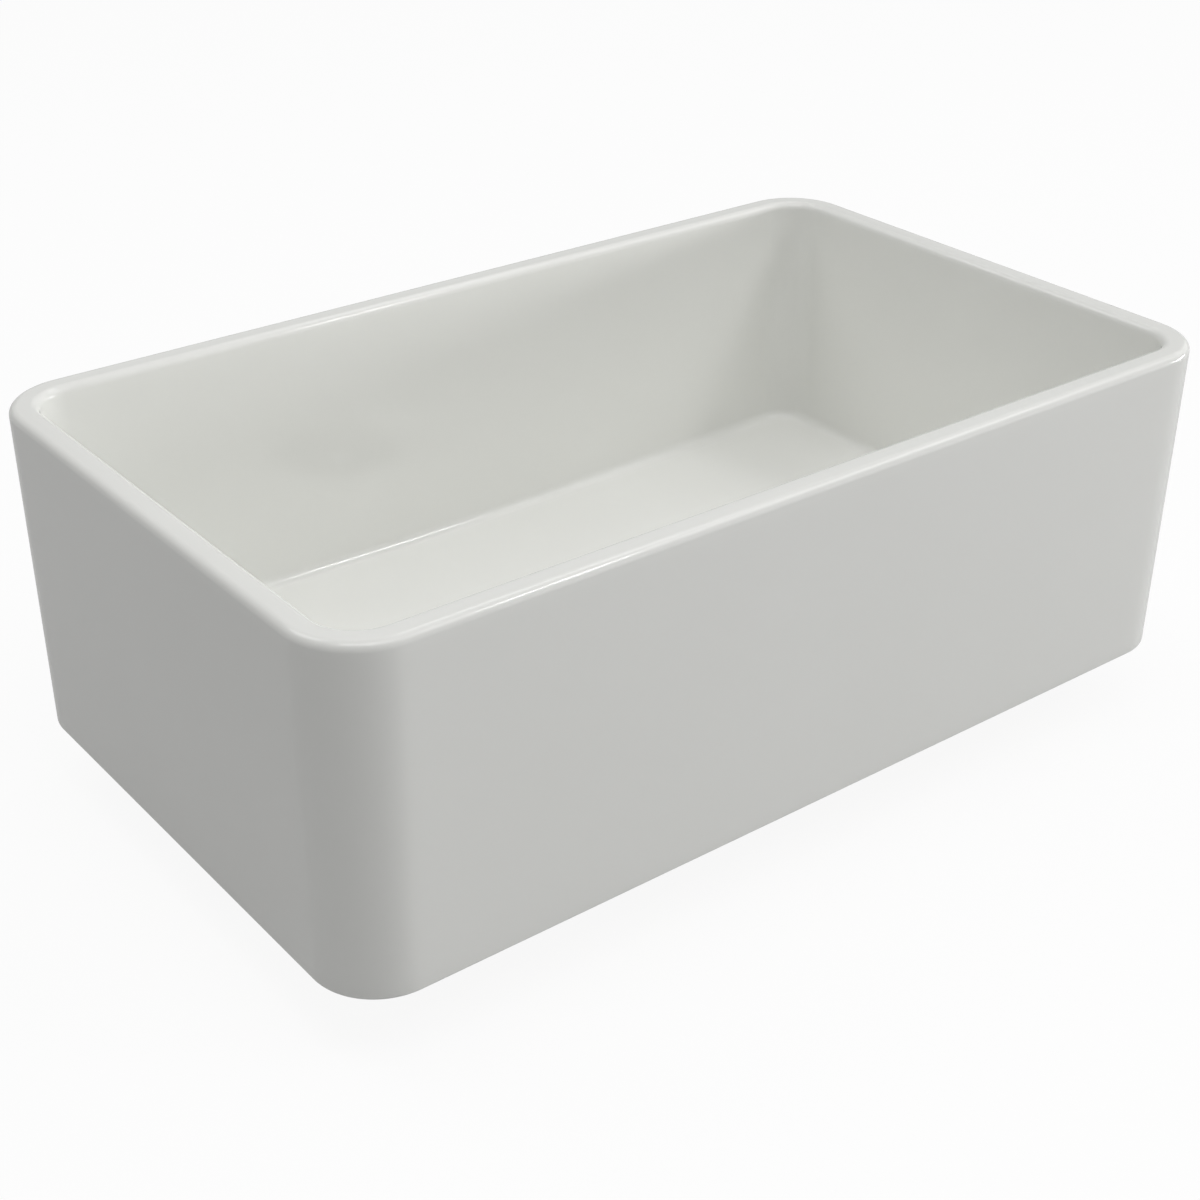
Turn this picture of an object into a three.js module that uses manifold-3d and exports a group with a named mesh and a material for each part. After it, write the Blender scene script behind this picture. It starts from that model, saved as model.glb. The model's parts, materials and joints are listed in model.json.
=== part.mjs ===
// Farmhouse apron front sink: a one-piece fireclay bowl with its 90 mm basket strainer waste.
// Millimetres, +Z up, +X along the sink, -Y towards the apron.
// The origin is the middle of the base plane, on the drain's axis.
import * as THREE from "three";
import { mergeVertices } from "three/addons/utils/BufferGeometryUtils.js";
import Module from "manifold-3d";

const wasm = await Module();
wasm.setup();

// ---- Driving dimensions ----

const fitGap = 0.3; // between two rigid pieces that seat on each other

// Fireclay bowl
const bowlLength = 760; // outside, at the rim
const bowlWidth = 455;
const bowlHeight = 250;
const outerCornerRadius = 50; // of the vertical edges, in plan
const wallThickness = 20.5; // at the rim
const rimRound = 6; // both edges of the rim
const outerDraft = 2.2; // each outside wall leans in by this much from rim to base
const innerDraft = 1; // each inside wall leans in by this much from rim to floor
const footRound = 2; // edge between the outside walls and the base
const floorFillet = 8; // between the inside walls and the floor
const floorHeightAtDrain = 36; // where the sloping floor would meet the drain's axis
const floorFall = 0.03; // rise of the floor per millimetre away from the drain
const footBandWidth = 46; // the ground band round the base that the sink stands on
const reliefDepth = 4; // hollow of the base inside that band
const reliefLean = 3; // slope of the hollow's side
const reliefCornerRadius = 25;

// Strainer body
const bodyRadius = 43; // outside of the threaded wall
const bodyWall = 2.2;
const bodyDepth = 46; // from the flange's top to the stopper seat
const bodyFillet = 4; // inside, at the foot of the wall
const flangeWidth = 13; // outside the threaded wall
const flangeThickness = 1.5;
const flangeLipDrop = 0.8; // turned-down outer edge of the flange
const stopperSeatWidth = 6.8; // flat ring between the fillet and the outlet
const funnelDepth = 15;
const neckRadius = 23.5; // outside of the threaded neck
const neckWall = 3.5;
const neckLength = 14;

// Drain opening in the bowl, round the strainer body
const drainHoleClearance = 2;
const flangeClearance = 2; // between the flange and the recess fillet
const drainSeatHeight = 24; // flat ring under the strainer's flange
const recessFillet = 3; // between the flat ring and the recess wall
const recessEdgeRound = 4; // between the recess wall and the floor
const drainHoleChamfer = 1.5;

// Cross in the outlet that guides the basket's post
const crossArms = 4;
const crossArmWidth = 3;
const crossArmHeight = 3;
const crossDrop = 7.4; // below the stopper seat
const guideRadius = 5; // of the basket's guide, which the hub receives
const hubWall = 2.7;
const hubHeight = 6;

// Seals, washers and nuts, each as wide as given outside the threaded wall
const topSealThickness = 2.5;
const bottomSealThickness = 3;
const bottomSealWidth = 13;
const frictionWasherThickness = 1;
const frictionWasherWidth = 11;
const lockNutWall = 7;
const lockNutHeight = 12;
const lockNutFlange = 2.5; // thickness of its flange under the friction washer
const lockNutLugs = 8;
const lockNutLugWidth = 9;
const lockNutLugReach = 4.5;
const nutChamfer = 1; // outer edges of both nuts
const couplingWasherThickness = 2.5;
const couplingNutWall = 4;
const couplingNutHeight = 18;
const couplingNutLip = 2.5; // thickness of the lip under the washer
const couplingNutRibs = 10;
const couplingNutRibRadius = 2.2;

// Basket
const cupClearance = 1.4; // between its rolled rim and the strainer body
const cupRimWidth = 1.8; // how far the rolled rim stands out
const cupRimThickness = 2;
const cupTaper = 6.6; // how much narrower its base is than its top, a side
const cupSheet = 1;
const cupHeight = 29;
const cupFillet = 4;
const cupSideHoles = 18; // in each row
const cupSideHoleRadius = 2;
const cupSideRows = [9, 15.3, 21.7]; // heights over the cup's base
const cupFloorHoleRadius = 1.7;
// rings of holes in its floor, each at a share of the flat floor's radius
const cupFloorRings = [
  { share: 0.389, holes: 12 },
  { share: 0.611, holes: 12 },
  { share: 0.833, holes: 18 },
];
const stopperOverlap = 5; // outside the outlet's edge
const stopperThickness = 3.5;
const stopperLip = 1.2; // how far its rim thins towards the edge
const stopperWasherRadius = 12;
const stopperWasherThickness = 1.2;
const postRadius = 2.5;
const postShoulderRadius = 4.4; // collar that seats on the cup's floor
const postShoulderHeight = 4;
const postHeadRadius = 3.9; // peened end under the guide
const postHeadHeight = 1.6;
const postHeadChamfer = 0.8;
const knobRadius = 10;
const knobHeight = 9;
const knobWaistRadius = 5.4;
const knobWaistHeight = 3; // straight part of the waist
const knobGripBase = 5.5; // where the grip reaches its full radius
const knobDome = 2; // height of the dome over the grip's edge
const knobSocketDepth = 6;
const knobTopBelowFloor = 4; // the knob stays this far under the bowl's floor at the drain
const postNutAcrossFlats = 8;
const postNutHeight = 3.6;
const guideHeight = 10;
const guideLeadIn = 1.2; // taper at its foot, across
const guideLeadInHeight = 1.8;
const guideTopChamfer = 1;

// ---- Radii that follow from the strainer body ----

const bodyInnerRadius = bodyRadius - bodyWall;
const outletRadius = bodyInnerRadius - bodyFillet - stopperSeatWidth;
const flangeRadius = bodyRadius + flangeWidth;
const drainHoleRadius = bodyRadius + drainHoleClearance;
const drainSeatRadius = flangeRadius + flangeClearance;
const nutBoreRadius = bodyRadius + fitGap; // of everything threaded or slipped over the body
const topSealRadius = flangeRadius - flangeThickness / 2 - fitGap;
const bottomSealRadius = bodyRadius + bottomSealWidth;
const frictionWasherRadius = bodyRadius + frictionWasherWidth;
const lockNutRadius = bodyRadius + lockNutWall;
const neckBoreRadius = neckRadius - neckWall;
const hubBoreRadius = guideRadius + fitGap;
const hubRadius = hubBoreRadius + hubWall;
const cupRimRadius = bodyInnerRadius - cupClearance;
const cupTopRadius = cupRimRadius - cupRimWidth; // outside, just under its rolled rim
const cupBottomRadius = cupTopRadius - cupTaper;
const cupFlatRadius = cupBottomRadius - cupFillet;
const stopperRadius = outletRadius + stopperOverlap;

// ---- Heights of the stack, worked out from the sizes above ----

const topSealBase = drainSeatHeight + fitGap;
const flangeBase = topSealBase + topSealThickness + fitGap;
const flangeTop = flangeBase + flangeThickness;
const stopperSeat = flangeTop - bodyDepth;
const funnelTop = stopperSeat - bodyWall;
const neckTop = funnelTop - funnelDepth;
const neckBase = neckTop - neckLength;
const hubTop = stopperSeat - crossDrop;

const bottomSealTop = reliefDepth - fitGap;
const bottomSealBase = bottomSealTop - bottomSealThickness;
const frictionWasherTop = bottomSealBase - fitGap;
const frictionWasherBase = frictionWasherTop - frictionWasherThickness;
const lockNutTop = frictionWasherBase - fitGap;
const lockNutBase = lockNutTop - lockNutHeight;

const couplingWasherTop = neckBase - fitGap;
const couplingWasherBase = couplingWasherTop - couplingWasherThickness;
const couplingNutBase = couplingWasherBase - fitGap - couplingNutLip;

const stopperBase = stopperSeat + fitGap;
const stopperTop = stopperBase + stopperThickness;
const cupBase = stopperTop + fitGap;
const cupFloorTop = cupBase + cupSheet;
const stopperWasherTop = stopperBase - fitGap;
const stopperWasherBase = stopperWasherTop - stopperWasherThickness;
const postNutTop = stopperWasherBase - fitGap;
const postNutBase = postNutTop - postNutHeight;
const guideTop = postNutBase - fitGap;
const guideBase = guideTop - guideHeight;
const knobTop = floorHeightAtDrain - knobTopBelowFloor;
const knobBase = knobTop - knobHeight;

// ---- Materials ----

function material(color, roughness, metalness) {
  return new THREE.MeshStandardMaterial({ color, roughness, metalness });
}

const glazedFireclay = material(0xe4e5df, 0.12, 0);
const brushedSteel = material(0xc2c2c0, 0.3, 1);
const polishedSteel = material(0xd6d6d6, 0.12, 1);
const blackRubber = material(0x1d1d1e, 0.75, 0);
const greyFoam = material(0x55565a, 0.9, 0);
const fibreBoard = material(0xb98c5a, 0.85, 0);
const zincAlloy = material(0xb4b5b3, 0.38, 1);
const whiteNylon = material(0xe8e6de, 0.5, 0);

// ---- Shape helpers ----

// A closed ring of points for a rounded rectangle, counter-clockwise seen from above.
function roundedRectangle(length, width, radius) {
  const cornerSteps = 12;
  const longSideSteps = 10;
  const shortSideSteps = 6;
  const x = length / 2 - radius;
  const y = width / 2 - radius;
  const corners = [
    { x, y, turn: 0, nextSide: longSideSteps },
    { x: -x, y, turn: 1, nextSide: shortSideSteps },
    { x: -x, y: -y, turn: 2, nextSide: longSideSteps },
    { x, y: -y, turn: 3, nextSide: shortSideSteps },
  ];
  const points = [];
  corners.forEach((corner, i) => {
    for (let step = 0; step <= cornerSteps; step++) {
      const angle = (corner.turn + step / cornerSteps) * (Math.PI / 2);
      points.push(
        new THREE.Vector2(
          corner.x + radius * Math.cos(angle),
          corner.y + radius * Math.sin(angle),
        ),
      );
    }
    const next = corners[(i + 1) % corners.length];
    const nextStart = (corner.turn + 1) * (Math.PI / 2);
    const from = points[points.length - 1].clone();
    const to = new THREE.Vector2(
      next.x + radius * Math.cos(nextStart),
      next.y + radius * Math.sin(nextStart),
    );
    for (let step = 1; step < corner.nextSide; step++)
      points.push(from.clone().lerp(to, step / corner.nextSide));
  });
  return points;
}

// The bowl's plan outline, moved in by inset. Its corners shrink with it unless a radius is given.
function planRing(inset, height, cornerRadius = outerCornerRadius - inset) {
  const outline = roundedRectangle(
    bowlLength - 2 * inset,
    bowlWidth - 2 * inset,
    cornerRadius,
  );
  return outline.map((p) => new THREE.Vector3(p.x, p.y, height));
}

// A closed geometry through rings of equal length, from the lowest up, with a fan over each end.
function loft(rings, lowCentre, highCentre) {
  const count = rings[0].length;
  const vertices = [lowCentre, ...rings.flat(), highCentre];
  const index = [];
  const at = (ring, i) => 1 + ring * count + (i % count);
  const last = rings.length - 1;
  for (let i = 0; i < count; i++) {
    index.push(0, at(0, i + 1), at(0, i));
    for (let ring = 0; ring < last; ring++) {
      index.push(at(ring, i), at(ring, i + 1), at(ring + 1, i + 1));
      index.push(at(ring, i), at(ring + 1, i + 1), at(ring + 1, i));
    }
    index.push(vertices.length - 1, at(last, i), at(last, i + 1));
  }
  const geometry = new THREE.BufferGeometry();
  geometry.setFromPoints(vertices);
  geometry.setIndex(index);
  return geometry;
}

// Points of an arc in a half-plane, from one angle to another, in degrees.
function arc(centreX, centreY, radius, from, to, steps) {
  const points = [];
  for (let step = 0; step <= steps; step++) {
    const angle = THREE.MathUtils.degToRad(from + ((to - from) * step) / steps);
    points.push([
      centreX + radius * Math.cos(angle),
      centreY + radius * Math.sin(angle),
    ]);
  }
  return points;
}

// A profile of [radius, height] points turned about Z. It closes on itself, or starts and ends on the axis.
// Its points run so that material lies on their left.
function turned(profile, segments = 64) {
  const points = profile.map(([r, z]) => new THREE.Vector2(Math.max(r, 0), z));
  const onAxis = points[0].x === 0 && points[points.length - 1].x === 0;
  if (!onAxis) points.push(points[0].clone());
  const geometry = new THREE.LatheGeometry(points, segments);
  geometry.rotateX(Math.PI / 2);
  return geometry;
}

// A flat ring with square edges.
function ring(innerRadius, outerRadius, base, top, segments = 64) {
  return turned(
    [
      [innerRadius, base],
      [outerRadius, base],
      [outerRadius, top],
      [innerRadius, top],
    ],
    segments,
  );
}

function cylinder(radius, base, top, segments = 32) {
  const geometry = new THREE.CylinderGeometry(
    radius,
    radius,
    top - base,
    segments,
  );
  geometry.rotateX(Math.PI / 2);
  geometry.translate(0, 0, (base + top) / 2);
  return geometry;
}

// A three.js geometry as a solid that can be joined and cut.
function solid(geometry) {
  const bare = new THREE.BufferGeometry();
  bare.setAttribute("position", geometry.getAttribute("position"));
  bare.setIndex(geometry.getIndex());
  const merged = mergeVertices(bare, 1e-4);
  const triangles = [];
  const source = merged.getIndex().array;
  for (let i = 0; i < source.length; i += 3) {
    const [a, b, c] = [source[i], source[i + 1], source[i + 2]];
    if (a !== b && b !== c && c !== a) triangles.push(a, b, c);
  }
  return new wasm.Manifold(
    new wasm.Mesh({
      numProp: 3,
      vertProperties: new Float32Array(merged.getAttribute("position").array),
      triVerts: new Uint32Array(triangles),
    }),
  );
}

// A joined or cut solid as a three.js geometry.
function geometryOf(made) {
  const mesh = made.getMesh();
  const positions = new Float32Array(mesh.numVert * 3);
  for (let i = 0; i < mesh.numVert; i++)
    for (let k = 0; k < 3; k++)
      positions[i * 3 + k] = mesh.vertProperties[i * mesh.numProp + k];
  const geometry = new THREE.BufferGeometry();
  geometry.setAttribute("position", new THREE.BufferAttribute(positions, 3));
  geometry.setIndex(new THREE.BufferAttribute(new Uint32Array(mesh.triVerts), 1));
  geometry.computeVertexNormals();
  return geometry;
}

// Copies of a solid spaced evenly round the drain's axis.
function around(made, count, firstDegrees = 0) {
  const copies = [];
  for (let i = 0; i < count; i++)
    copies.push(made.rotate([0, 0, firstDegrees + (360 * i) / count]));
  return copies;
}

function joined(solids) {
  return solids.reduce((sum, next) => sum.add(next));
}

const sinkGroup = new THREE.Group();

// Adds one named sub-part, given as a geometry or as a solid.
function piece(name, shape, finish) {
  const made = shape.isBufferGeometry ? solid(shape) : shape;
  const mesh = new THREE.Mesh(geometryOf(made), finish);
  mesh.name = name;
  sinkGroup.add(mesh);
}

// ---- Fireclay bowl ----

function floorHeight(x, y) {
  return floorHeightAtDrain + floorFall * Math.hypot(x, y);
}

// Outside of the bowl as one block: foot round, leaning walls, outer rim round.
function bowlBlock() {
  const rings = [];
  for (const [inset, z] of arc(footRound, footRound, footRound, 270, 180, 3))
    rings.push(planRing(inset + outerDraft, z));
  const rim = bowlHeight - rimRound;
  for (const [inset, z] of arc(rimRound, rim, rimRound, 180, 90, 6))
    rings.push(planRing(inset, z));
  return loft(
    rings,
    new THREE.Vector3(0, 0, 0),
    new THREE.Vector3(0, 0, bowlHeight),
  );
}

// The space inside the bowl: sloping floor, floor fillet, leaning walls, inner rim round.
function bowlHollow() {
  const above = 5;
  const wallFoot = wallThickness + innerDraft;
  const floorRing = planRing(wallFoot + floorFillet, 0);
  const floorHeights = floorRing.map((p) => floorHeight(p.x, p.y));
  const rings = [];
  const fillet = arc(floorFillet, floorFillet, floorFillet, 270, 180, 5);
  for (const [across, up] of fillet) {
    const filletRing = planRing(wallFoot + across, 0);
    filletRing.forEach((p, i) => p.setZ(floorHeights[i] + up));
    rings.push(filletRing);
  }
  const rim = bowlHeight - rimRound;
  const rimArc = arc(wallThickness - rimRound, rim, rimRound, 0, 90, 6);
  for (const [inset, z] of rimArc) rings.push(planRing(inset, z));
  rings.push(planRing(wallThickness - rimRound, bowlHeight + above));
  return loft(
    rings,
    new THREE.Vector3(0, 0, floorHeightAtDrain),
    new THREE.Vector3(0, 0, bowlHeight + above),
  );
}

// Hollow of the base, inside the band that the sink stands on.
function baseRelief() {
  const below = 1;
  const flare = (reliefLean * below) / reliefDepth;
  const low = planRing(footBandWidth - flare, -below, reliefCornerRadius);
  const high = planRing(
    footBandWidth + reliefLean,
    reliefDepth,
    reliefCornerRadius,
  );
  return loft(
    [low, high],
    new THREE.Vector3(0, 0, -below),
    new THREE.Vector3(0, 0, reliefDepth),
  );
}

// Recess, seat and hole for the strainer, cut from above right through.
function drainCut() {
  const above = 20;
  const below = 5;
  const wallRadius = drainSeatRadius + recessFillet;
  const mouthRadius = wallRadius + recessEdgeRound;
  const mouthHeight = floorHeight(mouthRadius, 0);
  const holeTop = drainSeatHeight;
  return turned([
    [0, -below],
    [drainHoleRadius, -below],
    [drainHoleRadius, holeTop - drainHoleChamfer],
    [drainHoleRadius + drainHoleChamfer, holeTop],
    [drainSeatRadius, drainSeatHeight],
    ...arc(
      drainSeatRadius,
      drainSeatHeight + recessFillet,
      recessFillet,
      300,
      360,
      2,
    ),
    ...arc(
      mouthRadius,
      mouthHeight - recessEdgeRound,
      recessEdgeRound,
      180,
      90,
      4,
    ),
    [mouthRadius, mouthHeight + above],
    [0, mouthHeight + above],
  ]);
}

piece(
  "fireclay_bowl",
  solid(bowlBlock())
    .subtract(solid(bowlHollow()))
    .subtract(solid(baseRelief()))
    .subtract(solid(drainCut())),
  glazedFireclay,
);

// ---- Strainer body, clamped through the hole ----

// Pressed flange and threaded wall, with the stopper seat, outlet funnel and neck in one turned shell.
function strainerShell() {
  const throat = stopperSeat;
  return turned([
    [outletRadius, throat],
    [bodyInnerRadius - bodyFillet, throat],
    ...arc(
      bodyInnerRadius - bodyFillet,
      throat + bodyFillet,
      bodyFillet,
      300,
      360,
      2,
    ),
    ...arc(
      bodyInnerRadius + flangeThickness,
      flangeBase,
      flangeThickness,
      180,
      90,
      3,
    ),
    [flangeRadius - flangeThickness, flangeTop],
    [flangeRadius, flangeTop - flangeThickness / 2],
    [flangeRadius, flangeBase - flangeLipDrop],
    [flangeRadius - flangeThickness / 2, flangeBase - flangeLipDrop],
    [flangeRadius - flangeThickness / 2, flangeBase],
    [bodyRadius, flangeBase],
    [bodyRadius, throat + bodyWall],
    ...arc(bodyRadius - bodyFillet, throat + bodyWall, bodyFillet, 0, -90, 3),
    [outletRadius + bodyWall, funnelTop],
    [neckRadius, neckTop],
    [neckRadius, neckBase],
    [neckBoreRadius, neckBase],
    [neckBoreRadius, neckTop],
    [outletRadius, funnelTop],
  ].reverse());
}

// The cross under the stopper seat, its hub bored for the basket's guide.
function outletCross() {
  const slope = (outletRadius - neckBoreRadius) / funnelDepth;
  const armReach =
    outletRadius - slope * (funnelTop - hubTop) + neckWall / 2;
  const arm = new THREE.BoxGeometry(armReach, crossArmWidth, crossArmHeight);
  arm.translate(armReach / 2, 0, hubTop - crossArmHeight / 2);
  const arms = around(solid(arm), crossArms);
  const hub = solid(cylinder(hubRadius, hubTop - hubHeight, hubTop));
  const bore = solid(
    cylinder(hubBoreRadius, hubTop - 2 * hubHeight, hubTop + hubHeight),
  );
  return joined([hub, ...arms]).subtract(bore);
}

piece(
  "strainer_body",
  solid(strainerShell()).add(outletCross()),
  brushedSteel,
);

// ---- Seals, friction washer and lock nut ----

piece(
  "top_seal",
  ring(
    drainHoleRadius + drainHoleChamfer,
    topSealRadius,
    topSealBase,
    topSealBase + topSealThickness,
  ),
  greyFoam,
);

piece(
  "bottom_seal",
  ring(
    nutBoreRadius,
    bottomSealRadius,
    bottomSealBase,
    bottomSealTop,
  ),
  blackRubber,
);

piece(
  "friction_washer",
  ring(
    nutBoreRadius,
    frictionWasherRadius,
    frictionWasherBase,
    frictionWasherTop,
  ),
  fibreBoard,
);

// Ring nut with a flange under the washer and lugs for the spanner.
function lockNut() {
  const ledge = lockNutTop - lockNutFlange;
  const flangeEdge = lockNutRadius + lockNutLugReach;
  const wall = turned([
    [nutBoreRadius, lockNutBase],
    [lockNutRadius - nutChamfer, lockNutBase],
    [lockNutRadius, lockNutBase + nutChamfer],
    [lockNutRadius, ledge],
    [flangeEdge, ledge],
    [flangeEdge, lockNutTop],
    [nutBoreRadius, lockNutTop],
  ]);
  const root = lockNutRadius - nutChamfer; // the lugs start inside the wall
  const reach = flangeEdge - root;
  const lug = new THREE.BoxGeometry(reach, lockNutLugWidth, lockNutHeight);
  lug.translate(root + reach / 2, 0, (lockNutBase + lockNutTop) / 2);
  return joined([solid(wall), ...around(solid(lug), lockNutLugs)]);
}

piece("lock_nut", lockNut(), zincAlloy);

// ---- Coupling nut and its washer on the neck, for the trap's tailpiece ----

piece(
  "coupling_washer",
  ring(
    neckBoreRadius,
    neckRadius,
    couplingWasherBase,
    couplingWasherTop,
    48,
  ),
  whiteNylon,
);

// Cap nut with an inward lip, ribbed for the hand.
function couplingNut() {
  const bore = neckRadius + fitGap;
  const outside = bore + couplingNutWall;
  const top = couplingNutBase + couplingNutHeight;
  const shell = turned(
    [
      [neckBoreRadius, couplingNutBase],
      [outside - nutChamfer, couplingNutBase],
      [outside, couplingNutBase + nutChamfer],
      [outside, top - nutChamfer],
      [outside - nutChamfer, top],
      [bore, top],
      [bore, couplingNutBase + couplingNutLip],
      [neckBoreRadius, couplingNutBase + couplingNutLip],
    ],
    48,
  );
  const rib = cylinder(
    couplingNutRibRadius,
    couplingNutBase + nutChamfer,
    top - nutChamfer,
    12,
  );
  rib.translate(outside, 0, 0);
  return joined([solid(shell), ...around(solid(rib), couplingNutRibs)]);
}

piece("coupling_nut", couplingNut(), zincAlloy);

// ---- Basket, which lifts out ----

// Thin pressed cup with a rolled rim, before its holes.
function cupShell() {
  const lean = (cupTopRadius - cupBottomRadius) / cupHeight;
  const rimBase = cupBase + cupHeight;
  const rimTop = rimBase + cupRimThickness;
  return turned([
    [0, cupBase],
    [cupFlatRadius, cupBase],
    ...arc(
      cupFlatRadius,
      cupBase + cupFillet,
      cupFillet,
      300,
      350,
      2,
    ),
    [cupTopRadius, rimBase],
    [cupRimRadius, rimBase],
    [cupRimRadius, rimTop - cupRimThickness / 2],
    [cupRimRadius - cupRimThickness / 2, rimTop],
    [cupTopRadius - cupSheet, rimTop],
    [
      cupBottomRadius - cupSheet + lean * cupFillet,
      cupFloorTop + cupFillet - cupSheet,
    ],
    [cupFlatRadius, cupFloorTop],
    [0, cupFloorTop],
  ]);
}

function basketCup() {
  const cuts = [];
  const drillLength = 3 * cupFillet;
  const lean = (cupTopRadius - cupBottomRadius) / cupHeight;
  for (const up of cupSideRows) {
    const hole = new THREE.CylinderGeometry(
      cupSideHoleRadius,
      cupSideHoleRadius,
      drillLength,
      8,
    );
    hole.rotateZ(Math.PI / 2);
    hole.translate(cupBottomRadius + lean * up, 0, cupBase + up);
    cuts.push(...around(solid(hole), cupSideHoles));
  }
  for (const { share, holes } of cupFloorRings) {
    const hole = cylinder(
      cupFloorHoleRadius,
      cupBase - cupSheet,
      cupFloorTop + cupSheet,
      8,
    );
    hole.translate(cupFlatRadius * share, 0, 0);
    cuts.push(...around(solid(hole), holes));
  }
  cuts.push(
    solid(
      cylinder(postRadius + fitGap, cupBase - cupSheet, cupFloorTop + cupSheet),
    ),
  );
  return solid(cupShell()).subtract(joined(cuts));
}

piece("basket_cup", basketCup(), brushedSteel);

// Rubber disc under the cup that closes the outlet.
piece(
  "basket_stopper",
  turned([
    [postRadius + fitGap, stopperBase],
    [stopperRadius - stopperLip, stopperBase],
    [stopperRadius, stopperBase + stopperLip],
    [stopperRadius - stopperLip, stopperTop],
    [postRadius + fitGap, stopperTop],
  ]),
  blackRubber,
);

piece(
  "stopper_washer",
  ring(
    postRadius + fitGap,
    stopperWasherRadius,
    stopperWasherBase,
    stopperWasherTop,
    32,
  ),
  polishedSteel,
);

// Post from the knob's socket down to its peened head, with a collar on the cup's floor.
function basketPost() {
  const headTop = guideBase - fitGap;
  const headBase = headTop - postHeadHeight;
  const shoulderBase = cupFloorTop + fitGap;
  const shoulderTop = shoulderBase + postShoulderHeight;
  const postTop = knobBase + knobSocketDepth - fitGap;
  return turned(
    [
      [0, headBase],
      [postHeadRadius - postHeadChamfer, headBase],
      [postHeadRadius, headBase + postHeadChamfer],
      [postHeadRadius, headTop],
      [postRadius, headTop],
      [postRadius, shoulderBase],
      [postShoulderRadius, shoulderBase],
      [postShoulderRadius, shoulderTop],
      [postRadius, shoulderTop],
      [postRadius, postTop],
      [0, postTop],
    ],
    24,
  );
}

piece("basket_post", basketPost(), polishedSteel);

// Waisted pull knob with a domed top, bored from below for the post.
function basketKnob() {
  return turned(
    [
      [0, knobBase + knobSocketDepth],
      [postRadius + fitGap, knobBase + knobSocketDepth],
      [postRadius + fitGap, knobBase],
      [knobWaistRadius, knobBase],
      [knobWaistRadius, knobBase + knobWaistHeight],
      [knobRadius, knobBase + knobGripBase],
      [knobRadius, knobTop - knobDome],
      [knobRadius * 0.9, knobTop - knobDome / 2],
      [knobRadius / 2, knobTop - knobDome / 10],
      [0, knobTop],
    ],
    32,
  );
}

piece("basket_knob", basketKnob(), polishedSteel);

// Hexagon nut that clamps the washer and the stopper to the cup.
function postNut() {
  const hexagon = new THREE.Shape();
  const corner = postNutAcrossFlats / 2 / Math.cos(Math.PI / 6);
  for (let i = 0; i < 6; i++) {
    const angle = (i * Math.PI) / 3;
    const point = [corner * Math.cos(angle), corner * Math.sin(angle)];
    if (i === 0) hexagon.moveTo(...point);
    else hexagon.lineTo(...point);
  }
  hexagon.closePath();
  const body = new THREE.ExtrudeGeometry(hexagon, {
    depth: postNutHeight,
    bevelEnabled: false,
  });
  body.translate(0, 0, postNutBase);
  const bore = cylinder(
    postRadius + fitGap,
    postNutBase - 1,
    postNutTop + 1,
    24,
  );
  return solid(body).subtract(solid(bore));
}

piece("post_nut", postNut(), polishedSteel);

// Nylon guide that lifts with the post, which turns inside it.
piece(
  "post_guide",
  turned(
    [
      [postRadius + fitGap, guideBase],
      [guideRadius - guideLeadIn, guideBase],
      [guideRadius, guideBase + guideLeadInHeight],
      [guideRadius, guideTop - guideTopChamfer],
      [guideRadius - guideTopChamfer, guideTop],
      [postRadius + fitGap, guideTop],
    ],
    32,
  ),
  whiteNylon,
);

export default sinkGroup;
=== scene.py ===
import json
import math

import bmesh
import bpy
import numpy as np
from mathutils import Matrix, Vector


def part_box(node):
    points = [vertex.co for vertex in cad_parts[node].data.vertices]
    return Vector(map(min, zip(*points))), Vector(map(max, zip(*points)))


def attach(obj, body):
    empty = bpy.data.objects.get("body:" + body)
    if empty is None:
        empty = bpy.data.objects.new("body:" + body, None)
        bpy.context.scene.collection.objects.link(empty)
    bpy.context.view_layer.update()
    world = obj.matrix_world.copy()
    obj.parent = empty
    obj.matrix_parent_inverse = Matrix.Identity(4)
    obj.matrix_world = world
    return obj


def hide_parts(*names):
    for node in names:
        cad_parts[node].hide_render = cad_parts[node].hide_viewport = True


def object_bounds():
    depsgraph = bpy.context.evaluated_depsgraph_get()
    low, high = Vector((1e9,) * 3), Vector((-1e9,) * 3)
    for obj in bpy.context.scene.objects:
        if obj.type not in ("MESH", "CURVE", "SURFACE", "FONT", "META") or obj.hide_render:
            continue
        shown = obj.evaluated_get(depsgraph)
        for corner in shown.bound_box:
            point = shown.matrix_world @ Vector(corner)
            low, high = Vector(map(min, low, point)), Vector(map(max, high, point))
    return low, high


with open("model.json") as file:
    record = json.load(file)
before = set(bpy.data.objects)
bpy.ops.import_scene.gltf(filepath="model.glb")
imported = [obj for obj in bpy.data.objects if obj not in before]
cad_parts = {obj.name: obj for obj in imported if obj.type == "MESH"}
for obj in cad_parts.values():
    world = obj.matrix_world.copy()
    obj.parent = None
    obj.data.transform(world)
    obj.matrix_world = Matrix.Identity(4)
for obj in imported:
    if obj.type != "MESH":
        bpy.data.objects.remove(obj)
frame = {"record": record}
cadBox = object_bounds()
print("frame loaded")

millimetre = 0.001  # shapes below are worked out in millimetres


class Wire:
    # a shader socket that sums, differences and products can use; each one adds its Math node

    def __init__(self, finish, socket):
        self.finish = finish
        self.socket = socket

    def maths(self, operation, first, second):
        return self.finish.node("Math", {"operation": operation}, {0: first, 1: second})

    def __add__(self, other):
        return self.maths("ADD", self, other)

    def __radd__(self, other):
        return self.maths("ADD", other, self)

    def __sub__(self, other):
        return self.maths("SUBTRACT", self, other)

    def __rsub__(self, other):
        return self.maths("SUBTRACT", other, self)

    def __mul__(self, other):
        return self.maths("MULTIPLY", self, other)

    def __rmul__(self, other):
        return self.maths("MULTIPLY", other, self)


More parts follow.
